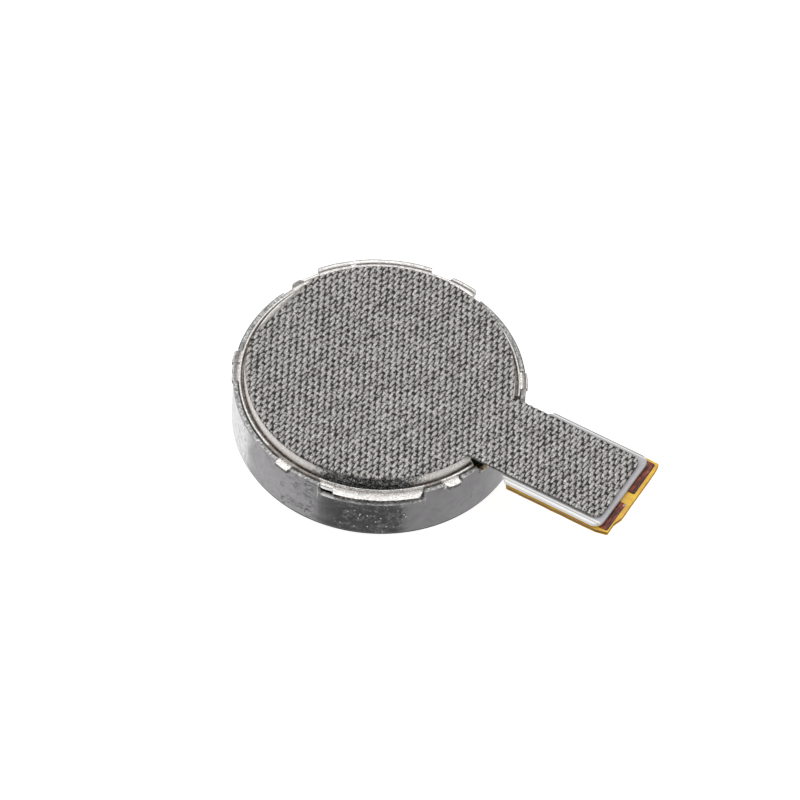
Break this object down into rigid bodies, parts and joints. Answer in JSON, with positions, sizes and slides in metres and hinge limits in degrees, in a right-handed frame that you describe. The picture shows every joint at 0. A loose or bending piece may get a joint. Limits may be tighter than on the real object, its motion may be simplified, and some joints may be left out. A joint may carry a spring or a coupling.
{
  "type": "vibration coin motor",
  "caption": "Brushed coin vibration motor: flat round steel can, bracket seated in its notched rim, woven mounting tape and a stiffened flexible tail with contact lands at its tip.",
  "frame": {"origin": "centre of the can's flat closed base, on the rotor's axis", "axes": "+Z along the rotor's axis, from the closed base towards the taped face; +X from the axis along the flexible tail; +Y completes a right-handed set, towards the tail's positive land"},
  "size_m": [0.0149, 0.0103, 0.0027],
  "materials": {
    "can_steel": "satin",
    "bracket_steel": "satin",
    "polyimide": "satin",
    "copper_foil": "satin",
    "contact_land": "matte",
    "adhesive": "matte",
    "stiffener_board": "matte",
    "woven_cloth": "matte",
    "magnet": "satin",
    "shaft_steel": "polished",
    "brass": "satin",
    "washer_nylon": "satin",
    "brush_bronze": "satin",
    "solder": "satin",
    "bearing_bronze": "matte",
    "rotor_board": "satin",
    "tungsten_alloy": "matte",
    "moulding_resin": "matte",
    "gold_plating": "polished",
    "enamelled_wire": "satin"
  },
  "bodies": {
    "housing": {"can_housing": "can_steel", "end_bracket": "bracket_steel", "flex_base_film": "polyimide", "flex_coverlay": "polyimide", "trace_positive": "copper_foil", "trace_negative": "copper_foil", "contact_pad_positive": "contact_land", "contact_pad_negative": "contact_land", "stiffener_adhesive": "adhesive", "stiffener": "stiffener_board", "tape_adhesive": "adhesive", "cloth_tape": "woven_cloth", "ring_magnet": "magnet", "magnet_adhesive": "adhesive", "shaft": "shaft_steel", "shaft_collar": "brass", "upper_thrust_washer": "washer_nylon", "lower_thrust_washer": "washer_nylon", "brush_positive": "brush_bronze", "brush_negative": "brush_bronze", "brush_solder_positive": "solder", "brush_solder_negative": "solder"},
    "rotor": {"sleeve_bearing": "bearing_bronze", "rotor_board": "rotor_board", "counterweight": "tungsten_alloy", "rotor_moulding": "moulding_resin", "commutator_segment_1": "gold_plating", "commutator_segment_2": "gold_plating", "commutator_segment_3": "gold_plating", "commutator_segment_4": "gold_plating", "commutator_segment_5": "gold_plating", "commutator_segment_6": "gold_plating", "coil_1": "enamelled_wire", "coil_2": "enamelled_wire", "coil_3": "enamelled_wire"}
  },
  "joints": [
    {"name": "rotor_spin", "type": "hinge", "parent": "housing", "child": "rotor", "pos_m": [0, 0, 0.0008], "axis": [0, 0, 1], "continuous": true}
  ]
}
